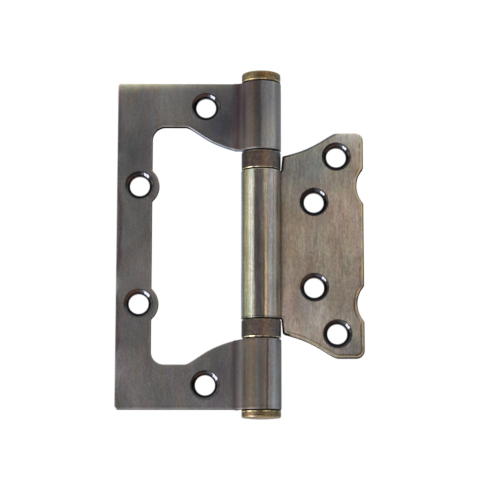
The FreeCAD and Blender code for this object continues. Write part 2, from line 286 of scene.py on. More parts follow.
def build_leaf(name, roll, outline, holes, front, turned, seed, wave):
    """front: -1 if the countersunk face is the w = -H side, +1 if it is w = +H.
    turned: the finished leaf is turned half a turn about the pin."""
    out = tidy(outline)
    area = 0.5 * np.sum(out[:, 0] * np.roll(out[:, 1], -1) - np.roll(out[:, 0], -1) * out[:, 1])
    if area < 0:
        out = out[::-1]
    n_in = normals_in(out)

    # section of the rounded edge: (distance from the outline, depth below the front face)
    k = 8
    prof = []
    for i in range(k + 1):
        a = math.pi / 2 * i / k
        # a quarter round, as a punch leaves it
        prof.append((DIE * (1 - math.sin(a)), DIE * (1 - math.cos(a))))
    prof = [(DIE + GUARD, 0.0)] + prof + [(0.0, DIE + 0.12), (0.0, 1.2), (0.0, T - BACK - 0.06)]
    for i in range(5):
        a = math.pi / 2 * i / 4
        prof.append((BACK * (1 - math.cos(a)), T - BACK * (1 - math.sin(a))))
    prof.append((BACK + 0.08, T))

    verts, uvw, faces, edge_d, csk = [], [], [], [], []

    def add(xz, depth, ed, ck):
        """xz in the unrolled plan (X = -u, z); depth below the front face."""
        base = len(uvw_all[0]) if False else len(verts)
        w = front * (H - np.broadcast_to(depth, (len(xz),)))
        for (x, z), ww, e, c in zip(xz, w, np.broadcast_to(ed, (len(xz),)), np.broadcast_to(ck, (len(xz),))):
            verts.append((x, ww, z))
            edge_d.append(e)
            csk.append(c)
        return base

    uvw_all = [[]]
    loops = []
    for d, dep in prof:
        p = out + n_in * d
        loops.append((add(p, dep, d, 0.0), p))
    n = len(out)
    for (b0, _), (b1, _) in zip(loops[:-1], loops[1:]):
        for i in range(n):
            j = (i + 1) % n
            faces.append((b0 + i, b1 + i, b1 + j, b0 + j))
    front_rings = [loops[0]]
    back_rings = [loops[-1]]

    # countersunk holes
    seg = 72
    for hx, hz in holes:
        c = np.array([hx, hz])
        t = np.linspace(0, 2 * math.pi, seg, endpoint=False)
        circ = np.stack([np.cos(t), np.sin(t)], 1)
        deep = CSK_R - HOLE_R
        rim = 0.11
        hp = [(CSK_R + rim * 1.1 + 0.16, 0.0, 0.35, 0.0), (CSK_R + rim * 0.9, 0.0, 0.12, 0.45), (CSK_R + rim * 0.35, 0.018, 0.04, 1.0),
              (CSK_R - rim * 0.25, 0.05, 0.02, 1.0), (CSK_R - rim * 0.9, 0.085, 0.0, 1.0), (CSK_R - 0.28, 0.221, 0.0, 1.0),
              (CSK_R - 0.52, 0.429, 0.0, 1.0), (CSK_R - 0.75, 0.64, 0.0, 1.0), (CSK_R - 1.02, 0.895, 0.0, 1.0),
              (HOLE_R + 0.18, deep - 0.21, 0.0, 1.0), (HOLE_R + 0.07, deep - 0.06, 0.0, 1.0),
              (HOLE_R + 0.015, deep + 0.03, 0.0, 0.9), (HOLE_R, deep + 0.1, 0.0, 0.8), (HOLE_R, T - 0.35, 0.0, 0.6), (HOLE_R, T - 0.1, 0.0, 0.5),
              (HOLE_R + 0.03, T - 0.03, 0.0, 0.3), (HOLE_R + 0.1, T, 0.1, 0.0), (HOLE_R + 0.26, T, 0.25, 0.0)]
        hl = [(add(c + circ * r, dep, e, ck), c + circ * r) for r, dep, e, ck in hp]
        for (b0, _), (b1, _) in zip(hl[:-1], hl[1:]):
            for i in range(seg):
                j = (i + 1) % seg
                faces.append((b0 + i, b0 + j, b1 + j, b1 + i))
        front_rings.append((hl[0][0], hl[0][1]))
        back_rings.append((hl[-1][0], hl[-1][1]))

    # faces of the sheet
    lo, hi = out.min(0), out.max(0)
    us = []
    x = lo[0] + 1.0
    while x < -roll.x1 - 0.4:
        us.append(x)
        x += 1.0
    m = int(math.ceil((roll.x1 - roll.ub) / 0.25))
    us += [-roll.x1 + (roll.x1 - roll.ub) * i / m for i in range(m + 1)]
    m = int(math.ceil((roll.ub - roll.uend) / 0.27))
    us += [-roll.ub + (roll.ub - roll.uend) * i / m for i in range(1, m)]
    us = np.array(us)
    zs = np.arange(lo[1] + 0.9, hi[1] - 0.5, 1.15)
    gx, gz = np.meshgrid(us, zs, indexing="ij")
    grid = np.stack([gx.ravel(), gz.ravel()], 1)

    def sheet_face(rings, depth, flip, clear, rows):
        ring_pts = [r[1] for r in rings]
        near = [r for r in rows]
        g0 = grid[dist_to(out, grid) > (rows[-1] + 0.35 if rows else 0)]
        cand = [g0]
        for d in near:
            q = out + n_in * d
            # thin the row to even spacing
            step = max(0.3, 0.55 * d)
            keep, last = [], None
            for i, pt in enumerate(q):
                if last is None or math.hypot(*(pt - last)) >= step:
                    keep.append(i)
                    last = pt
            q = q[keep]
            cand.append(q[dist_to(out, q) > d * 0.96])
        g = np.concatenate(cand)
        ok = inside(ring_pts[0], g) & (dist_to(ring_pts[0], g) > clear * 0.5)
        for h in ring_pts[1:]:
            ok &= ~inside(h, g) & (dist_to(h, g) > 0.25)
        g = g[ok]
        dist = dist_to(out, g)
        co, edges, ids = [], [], []
        for b, pts in rings:
            s = len(co)
            co += [tuple(q) for q in pts]
            ids += list(range(b, b + len(pts)))
            edges += [(s + i, s + (i + 1) % len(pts)) for i in range(len(pts))]
        b = add(g, depth, dist, 0.0)
        co += [tuple(q) for q in g]
        ids += list(range(b, b + len(g)))
        res = delaunay_2d_cdt([Vector(q) for q in co], edges, [], 0, 1e-7)
        vs, fs, orig = res[0], res[2], res[3]
        back = {}
        for i, o in enumerate(orig):
            back[i] = ids[o[0]] if o else None
        cen = np.array([np.mean([vs[i] for i in f], 0) for f in fs])
        keep = inside(ring_pts[0], cen)
        for h in ring_pts[1:]:
            keep &= ~inside(h, cen)
        lost = 0
        for f, kk in zip(fs, keep):
            if not kk:
                continue
            t = [back[i] for i in f]
            if None in t:
                lost += 1
                continue
            a2 = [vs[i] for i in f]
            ar = (a2[1][0] - a2[0][0]) * (a2[2][1] - a2[0][1]) - (a2[2][0] - a2[0][0]) * (a2[1][1] - a2[0][1])
            if abs(ar) < 1e-9:
                continue
            if (ar > 0) == flip:
                t = t[::-1]
            faces.append(tuple(t))
        if lost:
            print("lost faces", name, lost)

    sheet_face(front_rings, 0.0, False, 0.22, [0.45, 0.62, 0.85, 1.15, 1.55, 2.1])
    sheet_face(back_rings, T, True, 0.3, [])

    v = np.array(verts)
    u, w, z = -v[:, 0], v[:, 1], v[:, 2]
    wav = ripple(u, z, seed, 1.0)
    blend = smooth01((roll.x1 + 2 - u) / 4.0)
    amount = wave[0] + (wave[1] - wave[0]) * blend
    # long soft part of the rolled-over edge, weaker round the knuckle
    plan = np.stack([-u, z], 1)
    dist = dist_to(out, plan)
    near_front = smooth01((front * w + H) / T)
    drop = ROLL_A * np.exp(-dist / ROLL_L) * (1 - 0.8 * blend) * near_front
    w_new = w + wav * amount - front * drop
    nrm = edge_dir(out, plan)
    sx = -1.0 if turned else 1.0
    # edges facing right and down: gold, partly worn brass and partly painted edge highlight, and a painted dark
    # reflection on the lip
    wear_and_sheen_side = np.clip(0.25 + 0.75 * (sx * nrm[:, 0] * 0.8 - nrm[:, 1] * 0.8), 0, 1)
    wear_and_sheen_side = wear_and_sheen_side * (front * w > 0.2)
    # masks round each countersink for painted light: x the painted brown reflection at the upper left, y the lower half
    # with its lighter painted reflection, z the painted dark ring at the bore
    cone_painted_light = np.zeros((len(v), 3))
    for hx, hz in holes:
        d = plan - np.array([hx, hz])
        rr = np.hypot(*d.T)
        near = (rr < CSK_R + 0.3) & (rr > 0)
        a = (-sx * d[near, 0] + d[near, 1]) / (1.4142 * rr[near])
        cone_painted_light[near, 0] = smooth01((a - 0.45) / 0.45)
        cone_painted_light[near, 1] = smooth01((0.25 - d[near, 1] / rr[near]) / 0.7)
        cone_painted_light[near, 2] = smooth01((HOLE_R + 0.86 - rr[near]) / 0.34)
    p = roll.place(u, w_new, z)
    if turned:
        p[:, 0] *= -1
        p[:, 1] *= -1
    me = bpy.data.meshes.new(name)
    me.from_pydata((p * MM).tolist(), [], faces)
    me.validate()
    # outward orientation
    me.update()
    vol = 0.0
    me.calc_loop_triangles()
    tri = np.empty(len(me.loop_triangles) * 3, np.int32)
    me.loop_triangles.foreach_get("vertices", tri)
    tri = tri.reshape(-1, 3)
    co = p * MM
    vol = np.einsum("ij,ij->", co[tri[:, 0]], np.cross(co[tri[:, 1]], co[tri[:, 2]])) / 6
    if vol < 0:
        me.flip_normals()
    a = me.attributes.new("sheet", "FLOAT_VECTOR", "POINT")
    a.data.foreach_set("vector", np.stack([u, w, z], 1).astype(np.float32).ravel())
    a = me.attributes.new("edge", "FLOAT", "POINT")
    a.data.foreach_set("value", np.where(np.array(edge_d) < 0.3, np.array(edge_d), np.minimum(dist, 60)).astype(np.float32))
    a = me.attributes.new("csk", "FLOAT", "POINT")
    a.data.foreach_set("value", np.array(csk, np.float32))
    a = me.attributes.new("wear_and_sheen", "FLOAT", "POINT")
    a.data.foreach_set("value", wear_and_sheen_side.astype(np.float32))
    a = me.attributes.new("cone_painted_light", "FLOAT_VECTOR", "POINT")
    a.data.foreach_set("vector", cone_painted_light.astype(np.float32).ravel())
    for poly in me.polygons:
        poly.use_smooth = True
    ob = bpy.data.objects.new(name, me)
    bpy.context.scene.collection.objects.link(ob)
    wn = ob.modifiers.new("weighted", "WEIGHTED_NORMAL")
    wn.mode = "FACE_AREA"
    wn.weight = 60
    wn.keep_sharp = False
    print(name, "verts", len(me.vertices), "faces", len(me.polygons), "volume mm3", round(abs(vol) * 1e9, 1))
    return ob


def upset(pts, x0, z0, amp, wid):
    """A small bulge that bending squeezes out of the sheet's edge."""
    q = []
    for x, z in pts:
        if abs(z - z0) < 1.5:
            z += amp * math.exp(-((x - x0) / wid) ** 2)
        q.append((x, z))
    return q


def frame_outline(roll):
    xe = -roll.uend
    arm = [(roll.u_of_x(x), z) for x, z in ARM]
    up = spline_pts(arm, (1, 0), (1, -0.05))
    lo = [(x, -z) for x, z in up][::-1]
    xs = up[-1][0]
    p = []
    p += corner((-FRAME_W, 0), (-FRAME_W, -LEAF_Z), (0, -LEAF_Z), 1.0)
    bot = line_pts((p[-1][0], -LEAF_Z), (-10.0, -LEAF_Z), 1.0) + line_pts((-10.0, -LEAF_Z), (xe - 1.2, -LEAF_Z), 0.27)
    p += upset(bot, -7.7, -LEAF_Z, -0.16, 0.5)
    p += corner((0, -LEAF_Z), (xe, -LEAF_Z), (xe, 0), 0.72)
    p += corner((xe, -LEAF_Z), (xe, -FRAME_KN), (0, -FRAME_KN), 0.72)
    p += line_pts((xe - 1.2, -FRAME_KN), (xs, -FRAME_KN), 0.27)
    p += upset(lo, -7.9, -29.42, 0.12, 0.5)
    p += line_pts(p[-1], (-WIN_X + WIN_R, -WIN_Z), 0.8)
    p += corner((0, -WIN_Z), (-WIN_X, -WIN_Z), (-WIN_X, 0), WIN_R)
    hx, hz = FRAME_HOLES[1]
    for s in (-1, 1):
        a, b, c = bump_arc(-WIN_X, (hx, s * hz), BOSS_R, 0.9)
        p += line_pts(p[-1], a[0], 1.0) + a + b + c
    p += line_pts(p[-1], (-WIN_X, WIN_Z - WIN_R), 1.0)
    p += corner((-WIN_X, 0), (-WIN_X, WIN_Z), (0, WIN_Z), WIN_R)
    p += line_pts(p[-1], up[0], 0.8)
    p += upset(up, -7.9, 29.42, -0.16, 0.5)
    p += line_pts((xs, FRAME_KN), (xe - 1.2, FRAME_KN), 0.27)
    p += corner((0, FRAME_KN), (xe, FRAME_KN), (xe, LEAF_Z), 0.72)
    p += corner((xe, 0), (xe, LEAF_Z), (0, LEAF_Z), 0.72)
    top = line_pts((xe - 1.2, LEAF_Z), (-10.0, LEAF_Z), 0.27) + line_pts((-10.0, LEAF_Z), (-FRAME_W + 1.0, LEAF_Z), 1.0)
    p += upset(top, -7.8, LEAF_Z, 0.1, 0.5)
    p += corner((0, LEAF_Z), (-FRAME_W, LEAF_Z), (-FRAME_W, 0), 0.75)
    p += line_pts(p[-1], p[0], 1.0)
    return p


def door_outline(roll):
    """Unturned: the sheet lies towards -X, as the frame leaf's."""
    xe = -roll.uend
    brow = [(-x, z) for x, z in BROW][::-1]            # from the outer flat to the notch
    up = spline_pts(brow, (1, 0), (1, -0.2))
    lo = [(x, -z) for x, z in up]
    p = []
    p += corner((-DOOR_W, 0), (-DOOR_W, -DOOR_Z), (0, -DOOR_Z), DOOR_CORNER)
    p += line_pts(p[-1], lo[0], 1.0)
    p += lo
    # blunt corner above the notch
    nx, ni = -NOTCH_X, roll.u_of_x(-NOTCH_IN)
    nx = roll.u_of_x(nx)
    p += corner(lo[-1], (nx, -NOTCH_Z), (ni, -DOOR_KN), 0.5)
    c = corner((nx, -NOTCH_Z), (ni, -DOOR_KN), (0, -DOOR_KN), 0.5)
    p += line_pts(p[-1], c[0], 0.5) + c
    p += line_pts(p[-1], (xe - 1.2, -DOOR_KN), 0.27)
    p += corner((0, -DOOR_KN), (xe, -DOOR_KN), (xe, 0), 0.72)
    p += line_pts(p[-1], (xe, DOOR_KN - 0.9), 1.0)
    p += corner((xe, 0), (xe, DOOR_KN), (0, DOOR_KN), 0.72)
    c = corner((0, DOOR_KN), (ni, DOOR_KN), (nx, NOTCH_Z), 0.5)
    p += line_pts(p[-1], c[0], 0.27) + c
    c = corner((ni, DOOR_KN), (nx, NOTCH_Z), up[-1], 0.5)
    p += line_pts(p[-1], c[0], 0.5) + c
    p += up[::-1]
    p += line_pts(p[-1], (-DOOR_W + DOOR_CORNER, DOOR_Z), 1.0)
    p += corner((0, DOOR_Z), (-DOOR_W, DOOR_Z), (-DOOR_W, 0), DOOR_CORNER)
    for s in (1, -1):
        a, b, c = bump_arc(-DOOR_W, (-SCALLOP_X, s * SCALLOP_Z), SCALLOP_R, SCALLOP_BLEND)
        run = (a + b + c)[::-1]
        p += line_pts(p[-1], run[0], 1.0) + run
    p += line_pts(p[-1], p[0], 1.0)
    return p


# ---------------------------------------------------------------------------
# turned pieces
# ---------------------------------------------------------------------------
def lathe(name, prof, seg=144):
    """Turn a closed (r, z) outline, in millimetres, about the pin axis."""
    prof = [tuple(q) for q in prof]
    verts, faces, idx = [], [], []
    for r, z in prof:
        if r < 1e-6:
            idx.append([len(verts)])
            verts.append((0, 0, z))
        else:
            s = len(verts)
            idx.append(list(range(s, s + seg)))
            for i in range(seg):
                a = 2 * math.pi * i / seg
                verts.append((r * math.cos(a), r * math.sin(a), z))
    n = len(prof)
    for k in range(n):
        a, b = idx[k], idx[(k + 1) % n]
        if len(a) == 1 and len(b) == 1:
            continue
        for i in range(seg):
            j = (i + 1) % seg
            if len(a) == 1:
                faces.append((a[0], b[i], b[j]))
            elif len(b) == 1:
                faces.append((a[i], b[0], a[j]))
            else:
                faces.append((a[i], b[i], b[j], a[j]))
    me = bpy.data.meshes.new(name)
    me.from_pydata([(x * MM, y * MM, z * MM) for x, y, z in verts], [], faces)
    me.update()
    me.calc_loop_triangles()
    tri = np.empty(len(me.loop_triangles) * 3, np.int32)
    me.loop_triangles.foreach_get("vertices", tri)
    tri = tri.reshape(-1, 3)
    co = np.array(verts)
    if np.einsum("ij,ij->", co[tri[:, 0]], np.cross(co[tri[:, 1]], co[tri[:, 2]])) < 0:
        me.flip_normals()
    for poly in me.polygons:
        poly.use_smooth = True
    ob = bpy.data.objects.new(name, me)
    bpy.context.scene.collection.objects.link(ob)
    wn = ob.modifiers.new("weighted", "WEIGHTED_NORMAL")
    wn.mode = "FACE_AREA"
    wn.weight = 60
    wn.keep_sharp = False
    return ob


def rounded(pts, radii, least=5):
    """Closed (r, z) outline with rounded corners; radius 0 keeps a corner."""
    out = []
    n = len(pts)
    for i in range(n):
        if radii[i] <= 0:
            out.append(pts[i])
        else:
            c = corner(pts[i - 1], pts[i], pts[(i + 1) % n], radii[i])
            m = max(1, len(c) // (least + 1))
            out += c[::1]
    return out


CAP_R = 5.95


def button_profile(wall, dome, edge, z0, up, shaft_r, shaft_end, foot):
    """Half section of a button end: low dome, rounded shoulder, wall, small foot bevel, shaft."""
    s = up
    top = wall + edge
    rr = CAP_R - edge
    apex = top + dome
    R = (rr * rr + dome * dome) / (2 * dome)
    pr = [(0.0, z0 + s * apex)]
    slope = math.asin(rr / R)
    for i in range(1, 11):
        r = rr * i / 10
        pr.append((r, z0 + s * (apex - (R - math.sqrt(R * R - r * r)))))
    for i in range(1, 9):
        a = math.pi / 2 * (1 - i / 8)
        pr.append((rr + edge * math.cos(a), z0 + s * (wall + edge * math.sin(a))))
    pr += [(CAP_R, z0 + s * (wall * 0.5)), (CAP_R, z0 + s * (foot + 0.12))]
    for i in range(5):
        a = math.pi / 2 * i / 4
        pr.append((CAP_R - foot + foot * math.cos(a), z0 + s * (foot - foot * math.sin(a))))
    pr += [(CAP_R - foot - 0.15, z0), (shaft_r + 0.3, z0), (shaft_r, z0), (shaft_r, z0 - s * 0.3),
           (shaft_r, shaft_end + s * 0.6), (shaft_r, shaft_end + s * 0.4), (shaft_r - 0.4, shaft_end), (shaft_r - 0.6, shaft_end), (0.0, shaft_end)]
    return pr


def casing_profile(z0):
    a, b = z0 + 0.4, z0 + FRAME_KN - DOOR_KN - 0.4
    pts = [(5.05, a), (6.0, a), (6.0, b), (5.05, b), (5.05, b - 0.45), (5.6, b - 0.45), (5.6, a + 0.45), (5.05, a + 0.45)]
    # guard points keep the wall straight beside its rounded ends
    pr = rounded(pts, [0.08, 0.38, 0.38, 0.08, 0.05, 0.0, 0.0, 0.05])
    return pr


# ---------------------------------------------------------------------------
# node helper
# ---------------------------------------------------------------------------
class Nodes:
    def __init__(self, name):
        self.mat = bpy.data.materials.new(name)
        self.mat.use_nodes = True
        self.t = self.mat.node_tree
        self.t.nodes.clear()
        self.out = self.new("ShaderNodeOutputMaterial")
        self.bsdf = self.new("ShaderNodeBsdfPrincipled")
        self.link(self.bsdf.outputs[0], self.out.inputs[0])

    def new(self, kind, **props):
        n = self.t.nodes.new(kind)
        for k, v in props.items():
            setattr(n, k, v)
        return n

    def link(self, a, b):
        self.t.links.new(a, b)

    def put(self, sock, v):
        if isinstance(v, bpy.types.NodeSocket):
            self.link(v, sock)
        elif v is not None:
            sock.default_value = v

    def m(self, op, a, b=None, c=None, clamp=False):
        n = self.new("ShaderNodeMath", operation=op, use_clamp=clamp)
        self.put(n.inputs[0], a)
        if b is not None:
            self.put(n.inputs[1], b)
        if c is not None:
            self.put(n.inputs[2], c)
        return n.outputs[0]

    def rng(self, v, a, b, c=0.0, d=1.0, kind="SMOOTHSTEP"):
        n = self.new("ShaderNodeMapRange", interpolation_type=kind)
        self.put(n.inputs["Value"], v)
        n.inputs["From Min"].default_value = a
        n.inputs["From Max"].default_value = b
        n.inputs["To Min"].default_value = c
        n.inputs["To Max"].default_value = d
        return n.outputs[0]

    def mix(self, f, a, b, mode="MIX"):
        n = self.new("ShaderNodeMix", data_type="RGBA", blend_type=mode)
        self.put(n.inputs[0], f)
        self.put(n.inputs[6], a if isinstance(a, bpy.types.NodeSocket) else tuple(a) + (1,))
        self.put(n.inputs[7], b if isinstance(b, bpy.types.NodeSocket) else tuple(b) + (1,))
        return n.outputs[2]

    def rgb(self, c):
        n = self.new("ShaderNodeRGB")
        n.outputs[0].default_value = tuple(c) + (1,)
        return n.outputs[0]

    def scale(self, col, f):
        """Multiply a colour by a number."""
        n = self.new("ShaderNodeVectorMath", operation="SCALE")
        self.put(n.inputs[0], col)
        self.put(n.inputs["Scale"], f)
        return n.outputs[0]

    def noise(self, vec, scale, detail=3.0, rough=0.55, dist=0.0):
        n = self.new("ShaderNodeTexNoise", noise_dimensions="3D")
        self.put(n.inputs["Vector"], vec)
        n.inputs["Scale"].default_value = scale
        n.inputs["Detail"].default_value = detail
        n.inputs["Roughness"].default_value = rough
        n.inputs["Distortion"].default_value = dist
        return n.outputs["Fac"]

    def tints(self, col, vec, amount, detail=2.0, rough=0.6):
        """Slightly different brightness of red, green and blue from place to place."""
        n = self.new("ShaderNodeTexNoise", noise_dimensions="3D")
        self.put(n.inputs["Vector"], vec)
        n.inputs["Scale"].default_value = 1.0
        n.inputs["Detail"].default_value = detail
        n.inputs["Roughness"].default_value = rough
        a = self.new("ShaderNodeVectorMath", operation="MULTIPLY_ADD")
        self.link(n.outputs["Color"], a.inputs[0])
        a.inputs[1].default_value = (amount, amount, amount)
        a.inputs[2].default_value = (1 - amount / 2, 1 - amount / 2, 1 - amount / 2)
        b = self.new("ShaderNodeVectorMath", operation="MULTIPLY")
        self.put(b.inputs[0], col)
        self.link(a.outputs[0], b.inputs[1])
        return b.outputs[0]

    def stretch(self, vec, s, off=(0, 0, 0)):
        n = self.new("ShaderNodeMapping", vector_type="POINT")
        self.put(n.inputs["Vector"], vec)
        n.inputs["Scale"].default_value = s
        n.inputs["Location"].default_value = off
        return n.outputs[0]

    def attr(self, name, out="Vector"):
        n = self.new("ShaderNodeAttribute", attribute_type="GEOMETRY", attribute_name=name)
        return n.outputs[out]

    def objmm(self):
        tc = self.new("ShaderNodeTexCoord")
        n = self.new("ShaderNodeVectorMath", operation="SCALE")
        self.link(tc.outputs["Object"], n.inputs[0])
        n.inputs["Scale"].default_value = 1000.0
        return n.outputs[0]

    def sep(self, vec):
        n = self.new("ShaderNodeSeparateXYZ")
        self.link(vec, n.inputs[0])
        return n.outputs[0], n.outputs[1], n.outputs[2]

    def bump(self, height, dist, strength=1.0, normal=None):
        n = self.new("ShaderNodeBump")
        n.inputs["Strength"].default_value = strength
        n.inputs["Distance"].default_value = dist
        self.put(n.inputs["Height"], height)
        if normal is not None:
            self.link(normal, n.inputs["Normal"])
        return n.outputs[0]


def ramp(N, v, lo, hi, stops):
    """Colour as a function of a number between lo and hi; colours may reach 2."""
    n = N.new("ShaderNodeValToRGB")
    n.color_ramp.interpolation = "EASE"
    el = n.color_ramp.elements
    stops = sorted((((p - lo) / (hi - lo)), c) for p, c in stops)
    el[0].position, el[1].position = stops[0][0], stops[-1][0]
    for p, c in stops[1:-1]:
        el.new(p)
    for e, (p, c) in zip(sorted(el, key=lambda q: q.position), stops):
        c = (c, c, c) if isinstance(c, (int, float)) else c
        e.color = tuple(q / 2 for q in c) + (1,)
    N.link(N.rng(v, lo, hi, 0.0, 1.0, "LINEAR"), n.inputs[0])
    return N.scale(n.outputs[0], 2.0)


def blob(N, x, z, cx, cz, rx, rz):
    """Smooth round patch."""
    a = N.m("DIVIDE", N.m("SUBTRACT", x, cx), rx)
    b = N.m("DIVIDE", N.m("SUBTRACT", z, cz), rz)
    d = N.m("ADD", N.m("MULTIPLY", a, a), N.m("MULTIPLY", b, b))
    return N.m("EXPONENT", N.m("MULTIPLY", d, -1.0))


def sheet_material(name, base, warm, gold, wall_in, wall_out, lip_dark, cone_low_reflection, rough, wear_and_sheen_amount, wear_and_sheen_at, blobs, rolls, tone, seed):
    """Antique-bronzed steel with a fine mottled finish that runs along the pin.
    blobs: (x, z, rx, rz, colour) soft patches of the flat sheet, in mm of plan: painted light and shade, partly uneven
    finish.
    rolls: colour round the knuckle against u, for the upper and the lower end: painted reflection bands and painted
    shade in the bend, partly patina; with the extra roughness there.
    tone: amounts of grain, streaks, slow clouds, streaks round the knuckle and fine tints."""
    N = Nodes(name)
    sheet = N.attr("sheet")
    edge = N.attr("edge", "Fac")
    csk = N.attr("csk", "Fac")
    wear_and_sheen = N.attr("wear_and_sheen", "Fac")
    cone_painted_light, lower_half, inner = N.sep(N.attr("cone_painted_light"))
    u, w, z = N.sep(sheet)
    off = (seed * 13.7, seed * 5.1, seed * 29.3)
    off2 = (seed * 3.0 + 40, 9, 2)
    grain = N.noise(N.stretch(sheet, (1.9, 1.0, 1.4), off), 1.0, 3.0, 0.75)
    hair = N.noise(N.stretch(sheet, (6.5, 1.0, 0.9), off), 1.0, 2.0, 0.6)
    streak = N.noise(N.stretch(sheet, (2.3, 1.0, 0.30), off), 1.0, 3.0, 0.6, 0.2)
    mid = N.noise(N.stretch(sheet, (0.8, 1.0, 0.06), off), 1.0, 3.0, 0.6, 0.3)
    kline = N.noise(N.stretch(sheet, (2.1, 1.0, 0.018), off2), 1.0, 3.0, 0.6)
    broad = N.noise(N.stretch(sheet, (0.17, 1.0, 0.06), off), 1.0, 2.0, 0.5, 0.5)
    cloud = N.noise(N.stretch(sheet, (0.075, 1.0, 0.05), off), 1.0, 2.0, 0.45, 0.4)
    tint = N.noise(N.stretch(sheet, (0.45, 1.0, 0.14), off), 1.0, 3.0, 0.6, 0.4)

    def swing_of(v, amt):
        return N.m("MULTIPLY", N.m("SUBTRACT", v, 0.5), amt)

    kn = N.rng(u, rolls["from"][0], rolls["from"][1])
    t = N.m("ADD", swing_of(grain, tone[0]), swing_of(hair, 0.5 * tone[0]))
    t = N.m("ADD", t, swing_of(streak, tone[1]))
    t = N.m("ADD", t, swing_of(mid, 0.7 * tone[1]))
    t = N.m("ADD", t, swing_of(broad, 0.7 * tone[2]))
    t = N.m("ADD", t, swing_of(cloud, tone[2]))
    t = N.m("ADD", t, N.m("MULTIPLY", kn, swing_of(kline, tone[3])))
    gain = N.m("EXPONENT", t)
    col = N.mix(N.rng(tint, 0.40, 0.75), base, warm)
    # faint oil-slick tints of the plating
    col = N.tints(col, N.stretch(sheet, (1.5, 1.5, 1.1), off2), tone[4], 3.0, 0.7)
    col = N.tints(col, N.stretch(sheet, (0.30, 0.30, 0.06), off), 0.45 * tone[4], 2.0, 0.5)
    col = N.scale(col, gain)
    # soft patches with wandering borders: painted light and shade across the flat sheet, partly uneven finish
    x = N.m("ADD", N.m("MULTIPLY", u, -1.0), swing_of(cloud, 9.0))
    zz = N.m("ADD", z, swing_of(broad, 9.0))
    for cx, cz, rx, rz, c in blobs:
        thin = rz < 3.0
        f = blob(N, N.m("MULTIPLY", u, -1.0) if thin else x, N.m("ADD", z, swing_of(tint, 2.0)) if thin else zz, cx, cz, rx, rz)
        col = N.mix(f, col, N.mix(1.0, col, c, "MULTIPLY"))

    # knuckle: painted reflection bands round the roll and painted shade in the bend, partly patina, with uneven borders
    wob = N.m("ADD", u, N.m("ADD", swing_of(N.noise(N.stretch(sheet, (0.05, 1, 0.085), off), 1.0, 3.0, 0.6), 0.7),
                            swing_of(N.noise(N.stretch(sheet, (0.4, 1, 0.45), off), 1.0, 3.0, 0.65), 0.35)))
    lo_u, hi_u = rolls["range"]
    r_up = ramp(N, wob, lo_u, hi_u, rolls["upper"])
    r_lo = ramp(N, wob, lo_u, hi_u, rolls["lower"])
    side = N.rng(N.m("ADD", z, swing_of(cloud, 14.0)), rolls["z"][0], rolls["z"][1])
    rc = N.mix(side, r_lo, r_up)
    col = N.mix(kn, col, N.mix(1.0, col, rc, "MULTIPLY"))

    # front edge gold in stretches on edges facing right and down, partly worn brass and partly painted edge highlight,
    # with a darker line about a millimetre inside it, stronger towards the bottom
    e_wob = N.m("ADD", edge, swing_of(N.noise(N.stretch(sheet, (0.35, 0.5, 0.35), off), 1.0, 2.0, 0.6), 0.5))
    dark_line = N.m("MULTIPLY", N.m("MULTIPLY", wear_and_sheen, N.rng(N.m("ABSOLUTE", N.m("SUBTRACT", e_wob, 1.0)), 0.44, 0.12)), lip_dark * lip_dark)
    low = N.rng(z, -13.0, -19.0)
    col = N.mix(N.m("MULTIPLY", dark_line, N.m("MAXIMUM", N.rng(tint, 0.42, 0.58, 0.0, 0.62), N.m("MULTIPLY", low, 0.95))), col, N.mix(1.0, col, (0.31, 0.25, 0.22), "MULTIPLY"))
    wear_and_highlight = N.m("MULTIPLY", wear_and_sheen, N.rng(N.noise(N.stretch(sheet, (0.5, 0.5, 0.3), off), 1.0, 4.0, 0.7), 0.34, 0.56))
    wear_and_highlight = N.m("MULTIPLY", wear_and_highlight, N.rng(N.m("ABSOLUTE", N.m("SUBTRACT", edge, wear_and_sheen_at)), 0.33, 0.08))
    wear_and_highlight = N.m("MULTIPLY", N.m("MULTIPLY", wear_and_highlight, N.m("SUBTRACT", 1.0, N.m("MULTIPLY", low, 0.42))), wear_and_sheen_amount, clamp=True)
    col = N.mix(wear_and_highlight, col, gold)
    # cut walls: painted reflection, the wall_in colour near the roll (light bluish on the frame leaf) and the wall_out
    # colour further out and at the top and bottom ends
    wall = N.m("MULTIPLY", N.rng(edge, 0.05, 0.0), N.m("SUBTRACT", 1.0, csk))
    outer = N.rng(N.m("ABSOLUTE", z), 47.5, 49.3)
    wall_in, wall_out = N.mix(N.rng(u, 22.5, 19.5), wall_out, wall_in), N.rgb(wall_out)
    wcol = N.scale(N.mix(outer, wall_in, wall_out), N.m("ADD", 1.0, swing_of(N.noise(N.stretch(sheet, (0.8, 2.0, 0.8), off), 1.0, 3.0, 0.6), 2.0)))
    col = N.mix(wall, col, wcol)
    # outermost part of the rolled-over edge, on edges facing right and down: painted dark reflection in the wall_out
    # colour
    lip = N.m("MULTIPLY", N.m("MULTIPLY", N.m("MULTIPLY", wear_and_sheen, N.rng(edge, 0.44, 0.24)), N.m("SUBTRACT", 1.0, csk)), N.m("SUBTRACT", 1.0, N.m("MULTIPLY", wall, 1.0)))
    col = N.mix(N.m("MULTIPLY", lip, lip_dark), col, wall_out)
    # painted shade: a dark bluish line along the upper slanted edges
    shade = N.m("MULTIPLY", N.m("MULTIPLY", N.rng(edge, 0.95, 0.25), N.rng(z, 19.0, 21.0)), N.m("MULTIPLY", N.m("MULTIPLY", N.rng(u, 24.0, 22.4), N.m("SUBTRACT", 1.0, kn)), lip_dark * lip_dark))
    col = N.mix(shade, col, N.mix(1.0, col, (0.27, 0.32, 0.41), "MULTIPLY"))
